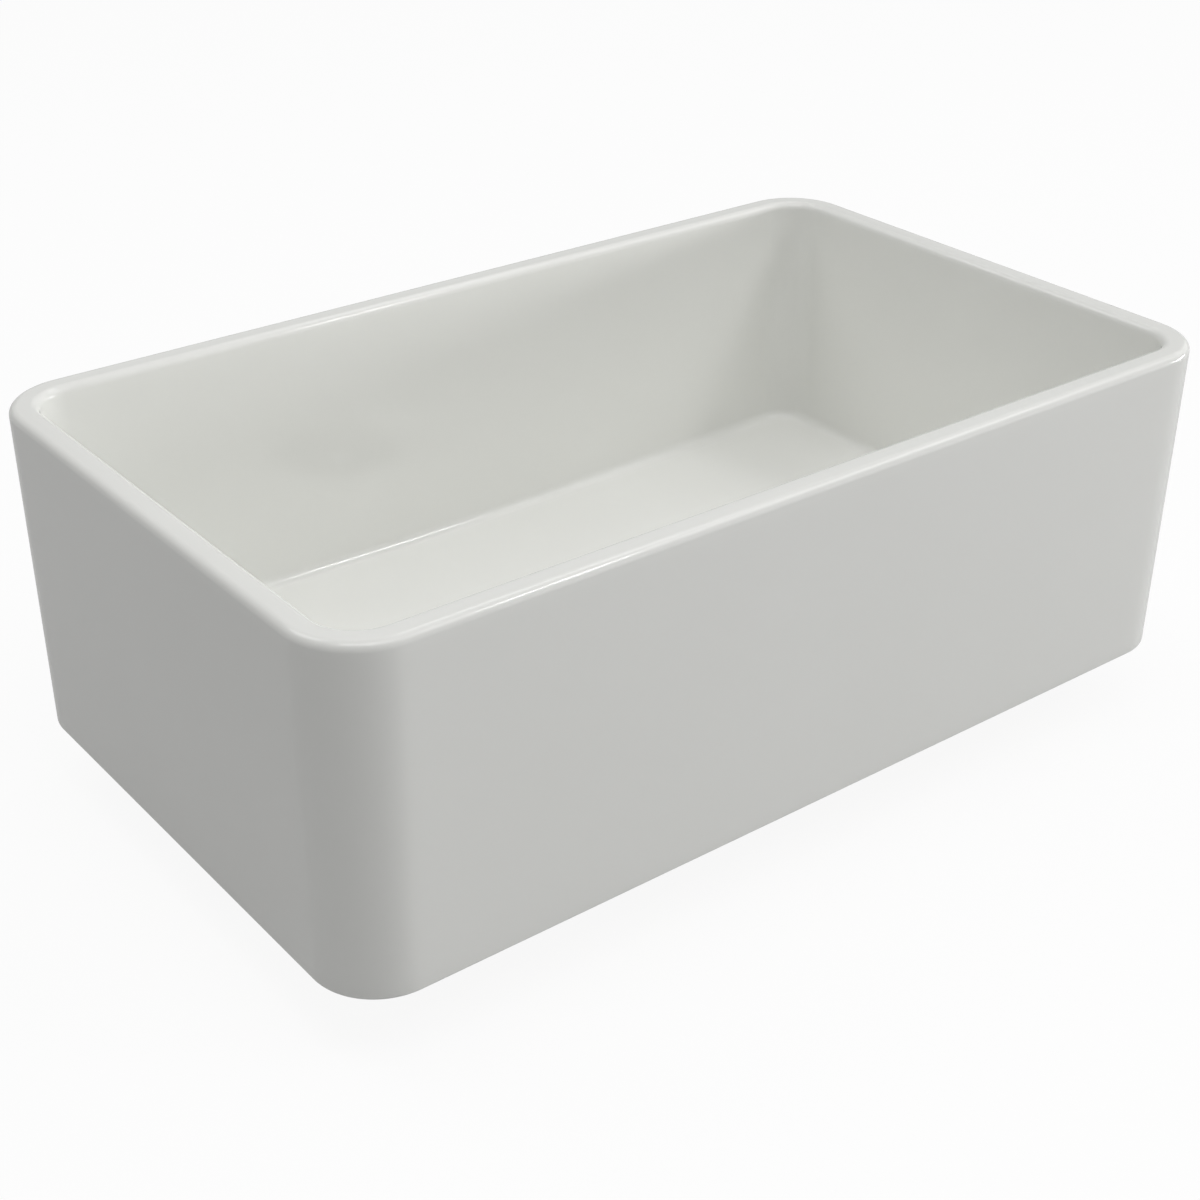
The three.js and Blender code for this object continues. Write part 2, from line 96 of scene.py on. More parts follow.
class Graph:
    # an empty node tree and the means to fill it

    def __init__(self, tree):
        self.tree = tree
        self.tree.nodes.clear()

    # a node of a kind: first its settings, then a value or a link for each socket. It gives one output
    def node(self, kind, settings=None, values=None, output=0):
        made = self.tree.nodes.new("ShaderNode" + kind)
        for key, value in (settings or {}).items():
            setattr(made, key, value)
        for key, value in (values or {}).items():
            if isinstance(value, Wire):
                self.tree.links.new(value.socket, made.inputs[key])
            else:
                made.inputs[key].default_value = value
        return Wire(self, made.outputs[output]) if made.outputs else None

    # sum of share * (1 where the ray is of that kind, else 0), at most 1
    def raysOf(self, shares):
        total = 0.0
        for kind, share in shares.items():
            path = self.tree.nodes.new("ShaderNodeLightPath")
            total = Wire(self, path.outputs[kind]) * share + total
        return self.node("Math", {"operation": "MINIMUM"}, {0: total, 1: 1.0})


class Finish(Graph):
    # one material

    def __init__(self, name):
        self.material = bpy.data.materials.new(name)
        self.material.use_nodes = True
        super().__init__(self.material.node_tree)

    # object coordinates in metres
    def place(self):
        return self.node("TexCoord", output=3)

    # noise between 0 and 1 on the object's coordinates, or on a vector of its own
    def noise(self, scale, detail, roughness=0.5, vector=None):
        where = vector or self.place()
        return self.node("TexNoise", values={
            "Vector": where, "Scale": scale, "Detail": detail, "Roughness": roughness,
        })

    # 0 at low and below, 1 at high and above, and a straight or a smooth climb between
    def span(self, value, low, high, smooth=False):
        return self.node(
            "MapRange",
            {"interpolation_type": "SMOOTHSTEP" if smooth else "LINEAR"},
            {0: value, 1: low, 2: high, 3: 0.0, 4: 1.0},
        )

    # first * (1 - factor) + second * factor
    def mixColour(self, factor, first, second):
        def full(colour):
            return colour if isinstance(colour, Wire) else (*colour, 1)
        return self.node("Mix", {"data_type": "RGBA"}, {0: factor, 6: full(first), 7: full(second)}, output=2)

    # coordinates that follow a turned piece: distance from its axis, angle, height
    def turnedPlace(self, across, along, up):
        place = self.tree.nodes.new("ShaderNodeSeparateXYZ")
        self.tree.links.new(self.place().socket, place.inputs[0])
        x, y, z = (Wire(self, place.outputs[i]) for i in range(3))
        distance = self.node("Math", {"operation": "SQRT"}, {0: x * x + y * y})
        angle = self.node("Math", {"operation": "ARCTAN2"}, {0: y, 1: x})
        return self.node("CombineXYZ", values={0: distance * across, 1: angle * along, 2: z * up})

    # a normal tilted by a height of 0 to 1 times a distance in metres, on top of another bump if one is given
    def bump(self, height, distance, below=None):
        values = {"Height": height, "Distance": distance, "Strength": 1.0}
        if below:
            values["Normal"] = below
        return self.node("Bump", values=values)

    # the finished material
    def principled(self, values):
        surface = self.node("BsdfPrincipled", values=values)
        self.node("OutputMaterial", values={"Surface": surface})
        return self.material


glaze = {
    "white": (0.924, 0.928, 0.898), "shade": (0.914, 0.918, 0.887), "cloudScale": 6,
    "clay": (0.560, 0.500, 0.400), "clayGrit": (0.400, 0.340, 0.260), "gritScale": 700, "gritDepth": 0.0003,
    "edgeScale": 90, "edgeReach": 0.5,  # the glaze ends on the foot along a ragged line
    "roughness": 0.01, "poolScale": 25, "poolRoughness": 0.012, "clayRoughness": 0.8,
    "waveScale": 5, "wave": 0.0001,  # the slow unevenness of the fired faces
    "peelScale": 230, "peel": 0.000001,  # the fine ripple in the glaze
}


# White glaze with slow waves and a fine ripple. The ground foot shows bare clay where bareClay is 1:
# bareMask = step(bareClay + (edge noise - half) * edgeReach)
def glazedFireclay():
    g = glaze
    made = Finish("glazedFireclay")
    bare = made.node("Attribute", {"attribute_name": "bareClay"}, output=2)
    edge = made.noise(g["edgeScale"], 4, 0.6)
    bareMask = made.span(bare + (edge - 0.5) * g["edgeReach"], 0.42, 0.58, smooth=True)
    cloud = made.span(made.noise(g["cloudScale"], 3), 0.35, 0.65)
    white = made.mixColour(cloud, g["white"], g["shade"])
    grit = made.span(made.noise(g["gritScale"], 5, 0.7), 0.45, 0.7)
    clay = made.mixColour(grit, g["clay"], g["clayGrit"])
    pool = made.noise(g["poolScale"], 2)
    roughness = g["roughness"] + pool * g["poolRoughness"] + bareMask * g["clayRoughness"]
    slow = made.bump(made.noise(g["waveScale"], 1, 0.4), g["wave"])
    ripple = made.bump(made.noise(g["peelScale"], 2), g["peel"], slow)
    surface = made.bump(grit * bareMask, g["gritDepth"], ripple)
    return made.principled({
        "Base Color": made.mixColour(bareMask, white, clay),
        "Roughness": roughness,
        "IOR": 1.5,
        "Normal": surface,
    })


# Metal turned or brushed round its axis: fine lines of noise that run with the angle.
# Roughness = roughness + (lines - half) * spread + (smear - half) * smear
def turnedMetal(name, look):
    made = Finish(name)
    lines = made.noise(1, 4, 0.65, made.turnedPlace(look["lines"], look["along"], look["lines"]))
    smear = made.noise(look["smearScale"], 3)
    tone = made.span(smear, 0.3, 0.7)
    return made.principled({
        "Base Color": made.mixColour(tone, look["light"], look["dark"]),
        "Metallic": 1.0,
        "Roughness": look["roughness"] + (lines - 0.5) * look["spread"] + (smear - 0.5) * look["smear"],
        "Normal": made.bump(lines, look["depth"]),
    })


brushedLook = {
    "light": (0.46, 0.46, 0.45), "dark": (0.40, 0.40, 0.39), "roughness": 0.26, "spread": 0.16,
    "smear": 0.12, "smearScale": 60, "lines": 2600, "along": 1.5, "depth": 0.00002,
}
polishedLook = {
    "light": (0.78, 0.78, 0.775), "dark": (0.72, 0.72, 0.715), "roughness": 0.09, "spread": 0.05,
    "smear": 0.08, "smearScale": 110, "lines": 3500, "along": 1.0, "depth": 0.000004,
}
castLook = {
    "light": (0.50, 0.50, 0.49), "dark": (0.38, 0.385, 0.385), "roughness": 0.42, "spread": 0.10,
    "smear": 0.2, "smearScale": 90, "lines": 500, "along": 40, "depth": 0.00006,
}


# Rubber or nylon with a pale bloom and a fine grain. Roughness = roughness + (grain - half) * spread
def moulded(name, look):
    made = Finish(name)
    bloom = made.span(made.noise(look["bloomScale"], 4, 0.6), 0.4, 0.75)
    grain = made.noise(look["grainScale"], 3, 0.6)
    return made.principled({
        "Base Color": made.mixColour(bloom, look["base"], look["bloom"]),
        "Roughness": look["roughness"] + (grain - 0.5) * look["spread"],
        "Normal": made.bump(grain, look["grain"]),
    })


rubberLook = {
    "base": (0.018, 0.018, 0.019), "bloom": (0.045, 0.044, 0.043), "bloomScale": 70,
    "grainScale": 1800, "grain": 0.00005, "roughness": 0.62, "spread": 0.15,
}
nylonLook = {
    "base": (0.76, 0.75, 0.70), "bloom": (0.70, 0.685, 0.63), "bloomScale": 50,
    "grainScale": 900, "grain": 0.00003, "roughness": 0.42, "spread": 0.15,
}


foamLook = {
    # pitShade is painted shade for the hollow of each cell; skin is the foam's own colour
    "pitShade": (0.045, 0.046, 0.05), "skin": (0.12, 0.12, 0.13), "cellScale": 900,
    "roughness": 0.85, "depth": 0.00012,
}


# Closed-cell foam: round pits from the distance to scattered points, each pit darkened with painted shade
def closedFoam():
    f = foamLook
    made = Finish("closedFoam")
    cells = made.node("TexVoronoi", values={"Vector": made.place(), "Scale": f["cellScale"]})
    pits = made.span(cells, 0.1, 0.6)
    return made.principled({
        # the colour darkens to painted shade towards the bottom of each pit, following the bump's hollows
        "Base Color": made.mixColour(pits, f["pitShade"], f["skin"]),
        "Roughness": f["roughness"],
        "Normal": made.bump(pits, f["depth"]),
    })


fibreLook = {
    "light": (0.50, 0.33, 0.17), "dark": (0.34, 0.21, 0.10), "mottleScale": 400,
    "across": 1800, "along": 60, "up": 900, "roughness": 0.8, "spread": 0.2, "depth": 0.00008,
}


# Pressed fibre: two noises, one stretched along the angle.
# Roughness = roughness + (strands - half) * spread
def pressedFibre():
    f = fibreLook
    made = Finish("pressedFibre")
    strands = made.noise(1, 5, 0.7, made.turnedPlace(f["across"], f["along"], f["up"]))
    mottled = made.span(made.noise(f["mottleScale"], 4, 0.7), 0.35, 0.7)
    return made.principled({
        "Base Color": made.mixColour(mottled, f["light"], f["dark"]),
        "Roughness": f["roughness"] + (strands - 0.5) * f["spread"],
        "Normal": made.bump(strands, f["depth"]),
    })


finishes = {
    "glazed_fireclay": glazedFireclay(),
    "brushed_steel": turnedMetal("brushedSteel", brushedLook),
    "polished_steel": turnedMetal("polishedSteel", polishedLook),
    "zinc_alloy": turnedMetal("castZinc", castLook),
    "black_rubber": moulded("blackRubber", rubberLook),
    "white_nylon": moulded("whiteNylon", nylonLook),
    "grey_foam": closedFoam(),
    "fibre_board": pressedFibre(),
}
print("finishes made")


# Quads between neighbouring rows of a grid whose columns close round, counter-clockwise seen from outside
def gridFaces(rows, columns, closeRows=False, first=0):
    i = np.arange(rows if closeRows else rows - 1)[:, None]
    j = np.arange(columns)[None, :]
    nextRow = (i + 1) % rows
    nextColumn = (j + 1) % columns
    here, above = i * columns, nextRow * columns
    corners = [here + j, here + nextColumn, above + nextColumn, above + j]
    return np.stack([c.ravel() for c in corners], 1) + first


# A mesh from points in millimetres and quads, tied to its CAD node, body and slot.
# Points nearer than merge become one, so seams and poles close
def addPiece(name, points, quads, node, merge=0.0004, attributes=None):
    mesh = bpy.data.meshes.new(name)
    mesh.vertices.add(len(points))
    mesh.vertices.foreach_set("co", (points * millimetre).astype(np.float32).ravel())
    mesh.loops.add(quads.size)
    mesh.loops.foreach_set("vertex_index", quads.astype(np.int32).ravel())
    mesh.polygons.add(len(quads))
    mesh.polygons.foreach_set("loop_start", np.arange(0, quads.size, 4, dtype=np.int32))
    mesh.update(calc_edges=True)
    for key, values in (attributes or {}).items():
        made = mesh.attributes.new(key, "FLOAT", "POINT")
        made.data.foreach_set("value", values.astype(np.float32))
    if merge:
        work = bmesh.new()
        work.from_mesh(mesh)
        bmesh.ops.remove_doubles(work, verts=work.verts, dist=merge * millimetre)
        bmesh.ops.dissolve_degenerate(work, edges=work.edges, dist=merge * millimetre)
        work.to_mesh(mesh)
        work.free()
    mesh.validate()
    mesh.polygons.foreach_set("use_smooth", np.ones(len(mesh.polygons), dtype=bool))
    piece = bpy.data.objects.new(name, mesh)
    bpy.context.scene.collection.objects.link(piece)
    subpart = next(s for s in frame["record"]["subparts"] if s["node"] == node)
    mesh.materials.append(finishes[subpart["material_slot"]])
    bodies = frame["record"]["behaviour"]["bodies"]
    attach(piece, next(b for b, members in bodies.items() if node in members))
    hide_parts(node)
    return piece


# Points of an arc about a centre, both angles in degrees
def arc(centreX, centreY, radius, start, end, steps):
    angle = np.radians(np.linspace(start, end, steps + 1))
    return np.stack([centreX + radius * np.cos(angle), centreY + radius * np.sin(angle)], 1)


# how much of an edge one round may take, how far its guard point stands off as a share of the round and
# at most as a share of the edge, and half the angle, in radians, from which a corner counts as straight
rounding = {"edge": 0.45, "guard": 0.35, "guardEdge": 0.04, "straight": 1.56}


# A closed outline whose corners are rounds: point = corner + (1 - t)^2 * reach * back + t^2 * reach * ahead.
# A guard point beside each round keeps flat faces shading flat. Corners are rows of across, up, radius
def softOutline(corners, steps=5):
    corners = np.asarray(corners, float)
    before = np.roll(corners, 1, 0)
    after = np.roll(corners, -1, 0)
    parts = []
    for low, here, high in zip(before, corners, after):
        radius = here[2]
        back = low[:2] - here[:2]
        ahead = high[:2] - here[:2]
        backLength, aheadLength = np.linalg.norm(back), np.linalg.norm(ahead)
        back, ahead = back / backLength, ahead / aheadLength
        half = math.acos(np.clip(back @ ahead, -1, 1)) / 2
        if radius <= 0 or half > rounding["straight"]:
            parts.append(here[None, :2])
            continue
        shorter = min(backLength, aheadLength)
        reach = min(radius / math.tan(half), rounding["edge"] * shorter)
        guard = min(rounding["guard"] * reach, rounding["guardEdge"] * shorter)
        t = np.linspace(0, 1, steps + 1)[:, None]
        bend = here[:2] + (1 - t) ** 2 * reach * back + t ** 2 * reach * ahead
        parts += [here[None, :2] + (reach + guard) * back, bend, here[None, :2] + (reach + guard) * ahead]
    return np.concatenate(parts)


# A profile of radius and height turned about Z: x = r cos(angle), y = r sin(angle).
# reach, if given, says how far each row stands out at each angle
def turnedPoints(profile, columns, reach=None):
    angle = 2 * np.pi * np.arange(columns) / columns
    radius = np.repeat(profile[:, :1], columns, 1)
    if reach is not None:
        radius = radius + reach(angle[None, :], profile[:, :1], profile[:, 1:2])
    height = np.repeat(profile[:, 1:2], columns, 1)
    points = np.stack([radius * np.cos(angle), radius * np.sin(angle), height], 2)
    return points.reshape(-1, 3)


# A closed outline with extra points between its own, about one to each step
def denseOutline(outline, step):
    parts = []
    for here, after in zip(outline, np.roll(outline, -1, 0)):
        count = max(1, int(np.linalg.norm(after - here) / step))
        parts.append(here + np.linspace(0, 1, count + 1)[:-1, None] * (after - here))
    return np.concatenate(parts)


# A solid of revolution from a closed outline. An outline that starts and ends on the axis stays open there
def turnedPiece(name, node, corners, columns=128, steps=5, reach=None, onAxis=False):
    outline = softOutline(corners, steps)
    outline[:, 0] = np.maximum(outline[:, 0], 0)
    points = turnedPoints(outline, columns, reach)
    quads = gridFaces(len(outline), columns, closeRows=not onAxis)
    return addPiece(name, points, quads, node)


bowl = {
    "length": 760, "width": 455, "height": 250, "corner": 50, "wall": 20.5, "rimRound": 6,
    "outerDraft": 2.2, "innerDraft": 1.0, "footRound": 2.0, "floorFillet": 8,
    "floorAtDrain": 36, "floorFall": 0.03, "seat": 24, "seatRadius": 58, "recessFillet": 3,
    "mouthRound": 4, "hole": 45, "holeRound": 1.5, "band": 46, "relief": 4, "reliefLean": 3,
    "reliefCorner": 25, "reliefRound": 0.8, "cornerSteps": 30, "longSteps": 90, "shortSteps": 60,
    "hollowRows": 12, "bandRows": 6, "outsideRows": 26, "flatRows": 8, "insideRows": 24, "floorRows": 36,
    "footSteps": 8, "rimSteps": 14,
}


# The skeleton of a rounded rectangle: a smaller rectangle, and each point's outward direction.
# A ring is skeleton plus radius times direction
def skeleton(length, width, corner):
    x, y = length / 2 - corner, width / 2 - corner
    centres = np.array([[x, y], [-x, y], [-x, -y], [x, -y]])
    bases, outward = [], []
    for i, steps in enumerate([bowl["longSteps"], bowl["shortSteps"]] * 2):
        angle = np.pi / 2 * (i + np.linspace(0, 1, bowl["cornerSteps"] + 1))
        bases.append(np.repeat(centres[i:i + 1], len(angle), 0))
        outward.append(np.stack([np.cos(angle), np.sin(angle)], 1))
        t = np.linspace(0, 1, steps + 1)[1:-1, None]
        bases.append(centres[i] + t * (centres[(i + 1) % 4] - centres[i]))
        outward.append(np.repeat(outward[-1][-1:], len(t), 0))
    return np.concatenate(bases), np.concatenate(outward)


# Rows from the hole's lower edge along the base, up the outside, over the rim, down the inside,
# along the floor and down through the drain, each a ring of the same number of points. With each row
# goes how bare of glaze it is
def bowlRings():
    b = bowl
    base, outward = skeleton(b["length"], b["width"], b["corner"])
    rings, clay = [], []

    # the bowl's outline at an inset: skeleton + (corner - inset) * direction
    def ring(inset, height, bare=0.0):
        flat = base + (b["corner"] - inset) * outward
        rings.append(np.column_stack([flat, np.broadcast_to(height, len(flat))]))
        clay.append(bare)

    floorPlan = base + (b["corner"] - b["wall"] - b["innerDraft"] - b["floorFillet"]) * outward
    floorEdge = b["floorAtDrain"] + b["floorFall"] * np.hypot(*floorPlan.T)
    toward = np.arctan2(floorPlan[:, 1], floorPlan[:, 0])
    fromDrain = np.stack([np.cos(toward), np.sin(toward)], 1)

    # a circle about the drain: radius * direction from the drain
    def circle(radius, height, bare=0.0):
        rings.append(np.column_stack([radius * fromDrain, np.full(len(fromDrain), height)]))
        clay.append(bare)

    # hole's lower edge, and the hollow of the base
    for across, up in arc(b["hole"] + 1, b["relief"] + 1, 1, 180, 270, 4):
        circle(across, up, 1.0)
    reliefBase, reliefOut = skeleton(
        b["length"] - 2 * b["band"], b["width"] - 2 * b["band"], b["reliefCorner"])
    inner = reliefBase + (b["reliefCorner"] - b["reliefLean"]) * reliefOut
    for t in np.linspace(0, 1, b["hollowRows"])[1:-1]:
        mixed = (1 - t) * (b["hole"] + 1) * fromDrain + t * (inner - b["reliefRound"] * reliefOut)
        rings.append(np.column_stack([mixed, np.full(len(mixed), b["relief"])]))
        clay.append(1.0)
    # the hollow's leaning side, rounded at its top and its foot
    sideTop = np.array([[-b["reliefRound"], 0.0], [0.15, -0.1], [0.75, -0.9]]) + [0, b["relief"]]
    sideFoot = np.array([[-0.6, 0.8], [0.1, 0.12], [0.9, 0.0]]) + [b["reliefLean"], 0]
    for out, up in np.concatenate([sideTop, sideFoot]):
        flat = inner + out * reliefOut
        rings.append(np.column_stack([flat, np.full(len(flat), up)]))
        clay.append(1.0)
    # ground band and the round at its edge
    start = b["outerDraft"] + b["footRound"]
    for inset in np.linspace(b["band"] - 6, start + 0.6, b["bandRows"]):
        ring(inset, 0.0, 1.0)
    # the bare clay fades out over the first half of the foot's round
    foot = arc(start, b["footRound"], b["footRound"], 270, 180, b["footSteps"])
    for step, (inset, up) in enumerate(foot):
        ring(inset, up, max(0.0, 1.0 - 2 * step / b["footSteps"]))
    # outside wall, rim, inside wall
    rimFoot = b["height"] - b["rimRound"]
    for t in np.linspace(0, 1, b["outsideRows"])[1:-1]:
        ring(b["outerDraft"] * (1 - t), b["footRound"] + t * (rimFoot - b["footRound"]))
    for inset, up in arc(b["rimRound"], rimFoot, b["rimRound"], 180, 90, b["rimSteps"]):
        ring(inset, up)
    flatEnd = b["wall"] - b["rimRound"]
    for inset in np.linspace(b["rimRound"], flatEnd, b["flatRows"])[1:-1]:
        ring(inset, b["height"])
    for inset, up in arc(flatEnd, rimFoot, b["rimRound"], 90, 0, b["rimSteps"]):
        ring(inset, up)
    wallFoot = b["wall"] + b["innerDraft"]
    for t in np.linspace(0, 1, b["insideRows"])[1:-1]:
        ring(b["wall"] + t * b["innerDraft"], rimFoot + t * (floorEdge + b["floorFillet"] - rimFoot))
    fillet = b["floorFillet"]
    for inset, up in arc(wallFoot + fillet, fillet, fillet, 180, 270, b["rimSteps"]):
        ring(inset, floorEdge + up)
    # sloping floor, which turns from the bowl's outline into a circle:
    # height = floorAtDrain + floorFall * distance from the drain
    wallRadius = b["seatRadius"] + b["recessFillet"]
    mouth = wallRadius + b["mouthRound"]
    for t in np.linspace(0, 1, b["floorRows"])[1:-1]:
        flat = (1 - t) * floorPlan + t * mouth * fromDrain
        rings.append(np.column_stack([flat, b["floorAtDrain"] + b["floorFall"] * np.hypot(*flat.T)]))
        clay.append(0.0)
    # recess, seat and hole
    mouthHeight = b["floorAtDrain"] + b["floorFall"] * mouth
    seatAcross = np.linspace(b["seatRadius"] - 1, b["hole"] + b["holeRound"] + 1, 5)
    holeUp = np.linspace(b["seat"] - b["holeRound"] - 1, b["relief"] + 2, 4)
    turns = [
        arc(mouth, mouthHeight - b["mouthRound"], b["mouthRound"], 90, 180, 10),
        arc(b["seatRadius"], b["seat"] + b["recessFillet"], b["recessFillet"], 0, -90, 8),
        np.column_stack([seatAcross, np.full(len(seatAcross), b["seat"])]),
        arc(b["hole"] + b["holeRound"], b["seat"] - b["holeRound"], b["holeRound"], 90, 180, 6),
        np.column_stack([np.full(len(holeUp), b["hole"]), holeUp]),
    ]
    for across, up in np.concatenate(turns):
        circle(across, up)
    return np.array(rings), np.array(clay)


# One closed mesh, with how bare of glaze each point is
def makeBowl():
    rings, clay = bowlRings()
    rows, columns = rings.shape[:2]
    return addPiece(
        "sinkBowl", rings.reshape(-1, 3), gridFaces(rows, columns, closeRows=True), "fireclay_bowl",
        merge=0, attributes={"bareClay": np.repeat(clay, columns)},
    )


makeBowl()
print("bowl made")


# The lowest and highest point of a CAD node, in millimetres. The waste and the basket take their heights
# from it
def nodeSpan(node):
    low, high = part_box(node)
    return low[2] / millimetre, high[2] / millimetre


strainer = {
    "flange": 56, "sheet": 1.5, "lip": 0.8, "outside": 43, "wall": 2.2, "depth": 46, "fillet": 4,
    "flangeFall": 6, "outlet": 30, "funnel": 15, "neck": 23.5, "neckWall": 3.5,
    "pitch": 2.0, "thread": 0.55, "threadRows": 8, "threadPower": 0.7,
    "crossDrop": 7.4, "armWidth": 3, "armHeight": 3, "armEdge": 0.7, "armBite": 0.4,
    "hub": 8, "hubBore": 5.3, "hubHeight": 6, "hubColumns": 96, "columns": 144,
}


# A closed bar along X from a section with rounded corners
def barPoints(length, width, height, edge):
    corners = [[-width / 2, -height / 2, edge], [width / 2, -height / 2, edge],
               [width / 2, height / 2, edge], [-width / 2, height / 2, edge]]
    section = softOutline(corners, 4)
    stations = np.linspace(0, 1, 12)
    # the ends close on a point in their middle
    along = np.concatenate([[0.0], stations * length, [length]])
    size = np.concatenate([[0.0], np.ones(len(stations)), [0.0]])
    points = np.stack([
        np.repeat(along[:, None], len(section), 1),
        size[:, None] * section[None, :, 0],
        size[:, None] * section[None, :, 1],
    ], 2)
    return points.reshape(-1, 3), gridFaces(len(along), len(section))[:, ::-1]


# A threaded shell turned about Z, with a hub that four arms hold in its outlet
def makeStrainer():
    s = strainer
    low, top = nodeSpan("strainer_body")
    under = top - s["sheet"]
    seat = top - s["depth"]
    inside = s["outside"] - s["wall"]
    funnelTop = seat - s["wall"]
    neckTop = funnelTop - s["funnel"]
    neckBore = s["neck"] - s["neckWall"]
    corners = [
        [neckBore, neckTop, 2], [neckBore, low, 0.6], [s["neck"], low, 0.6], [s["neck"], neckTop, 2],
        [s["outlet"] + s["wall"], funnelTop, 1.5], [s["outside"], funnelTop, s["fillet"]],
        [s["outside"], under, 0.6], [s["flange"] - s["lip"], under, 0.3],
        [s["flange"] - s["lip"], under - s["lip"], 0.2], [s["flange"], under - s["lip"], 0.2],
        [s["flange"], top - 0.2, 1.0], [s["flange"] - s["flangeFall"], top, 4],
        [inside, top, s["sheet"] + 1.2],
        [inside, seat, s["fillet"]], [s["outlet"], seat, 0.8], [s["outlet"], funnelTop, 0.8],
    ]
    outline = softOutline(corners, 6)
    # more rows where the two threads run, on the only two long upright walls outside
    dense = []
    for here, after in zip(outline, np.roll(outline, -1, 0)):
        dense.append(here[None])
        onThread = (abs(here[0] - after[0]) < 1e-6 and abs(here[1] - after[1]) > 8
                    and here[0] in (s["outside"], s["neck"]))
        if onThread:
            count = int(abs(after[1] - here[1]) / s["pitch"] * s["threadRows"])
            dense.append(here + np.linspace(0, 1, count + 1)[1:-1, None] * (after - here))
    outline = np.concatenate(dense)

    # a groove that climbs one pitch each turn, left out near both ends:
    # -thread * (half - half * cos(turns)) ^ threadPower
    def groove(angle, radius, height):
        wallPart = (abs(radius - s["outside"]) < 1e-6) & (height < under - 1) & (height > seat + 3)
        neckPart = (abs(radius - s["neck"]) < 1e-6) & (height > low + 1) & (height < neckTop - 1)
        phase = height / s["pitch"] - angle / (2 * np.pi)
        wave = 0.5 - 0.5 * np.cos(2 * np.pi * phase)
        return (wallPart | neckPart) * -s["thread"] * wave ** s["threadPower"]

    shell = turnedPoints(outline, s["columns"], groove)
    quads = [gridFaces(len(outline), s["columns"], closeRows=True)]
    parts = [shell]
    count = len(shell)
    hubTop = seat - s["crossDrop"]
    hub = softOutline([
        [s["hubBore"], hubTop - s["hubHeight"], 0.6], [s["hub"], hubTop - s["hubHeight"], 0.8],
        [s["hub"], hubTop, 0.8], [s["hubBore"], hubTop, 0.8],
    ])
    parts.append(turnedPoints(hub, s["hubColumns"]))
    quads.append(gridFaces(len(hub), s["hubColumns"], closeRows=True, first=count))
    count += len(parts[-1])
    # the arms run from inside the hub's wall to just inside the funnel's
    slope = (s["outlet"] - neckBore) / s["funnel"]
    reach = s["outlet"] - slope * (funnelTop - hubTop) + s["armBite"]
    start = (s["hub"] + s["hubBore"]) / 2
    bar, barFaces = barPoints(reach - start, s["armWidth"], s["armHeight"], s["armEdge"])
    for turn in range(4):
        angle = turn * math.pi / 2
        spin = np.array([[math.cos(angle), -math.sin(angle)], [math.sin(angle), math.cos(angle)]])
        flat = (bar[:, :2] + [start, 0]) @ spin.T
        parts.append(np.column_stack([flat, bar[:, 2] + hubTop - s["armHeight"] / 2]))
        quads.append(barFaces + count)
        count += len(bar)
    return addPiece("strainerBody", np.concatenate(parts), np.concatenate(quads), "strainer_body")


makeStrainer()


# A flat ring from the CAD node's own height, with rounded edges
def makeRing(name, node, inner, outer, edge):
    low, high = nodeSpan(node)
    corners = [[inner, low, edge], [outer, low, edge], [outer, high, edge], [inner, high, edge]]
    return turnedPiece(name, node, corners)


# node, inner radius, outer radius and round
flatRings = {
    "topSeal": ("top_seal", 46.5, 54.95, 0.9),
    "bottomSeal": ("bottom_seal", 43.3, 56, 1.0),
    "frictionWasher": ("friction_washer", 43.3, 54, 0.25),
    "couplingWasher": ("coupling_washer", 20, 23.5, 0.6),
    "stopperWasher": ("stopper_washer", 2.8, 12, 0.4),
}
for name, (node, inner, outer, edge) in flatRings.items():
    makeRing(name, node, inner, outer, edge)

lockNut = {"bore": 43.3, "radius": 50, "flange": 2.5, "reach": 4.5, "lugs": 8, "lugWidth": 9, "lugSlope": 1.2}


# How far a lug stands out: 1 across its width, falling over a short slope at each side as t^2 * (3 - 2t)
def lugShape(angle, count, halfWidth, slope, radius):
    local = (angle * count / (2 * np.pi) + 0.5) % 1 - 0.5
    distance = np.abs(local) * 2 * np.pi / count * radius
    t = np.clip((halfWidth + slope / 2 - distance) / slope, 0, 1)
    return t * t * (3 - 2 * t)


# A flanged ring with lugs down its outer wall
def makeLockNut():
    n = lockNut
    low, high = nodeSpan("lock_nut")
    ledge = high - n["flange"]
    corners = [
        [n["bore"], low, 0.7], [n["radius"], low, 0.9], [n["radius"], ledge, 0.9],
        [n["radius"] + n["reach"], ledge, 0.6], [n["radius"] + n["reach"], high, 0.5], [n["bore"], high, 0.7],
    ]

    # only the wall below the flange carries lugs
    def reach(angle, radius, height):
        onWall = np.clip((radius - n["radius"] + 1.5) / 1.0, 0, 1) * (height < ledge + 0.2)
        room = np.clip(n["radius"] + n["reach"] - radius, 0, n["reach"])
        return onWall * room * lugShape(angle, n["lugs"], n["lugWidth"] / 2, n["lugSlope"], n["radius"])

    return turnedPiece("lockNut", "lock_nut", corners, columns=384, reach=reach)


makeLockNut()

couplingNut = {
    "bore": 23.8, "hole": 20, "wall": 4, "lip": 2.5, "ribs": 10, "rib": 2.2, "ribEnd": 0.8, "ribFade": 1.4,
    "rowStep": 1.2, "columns": 360,
}


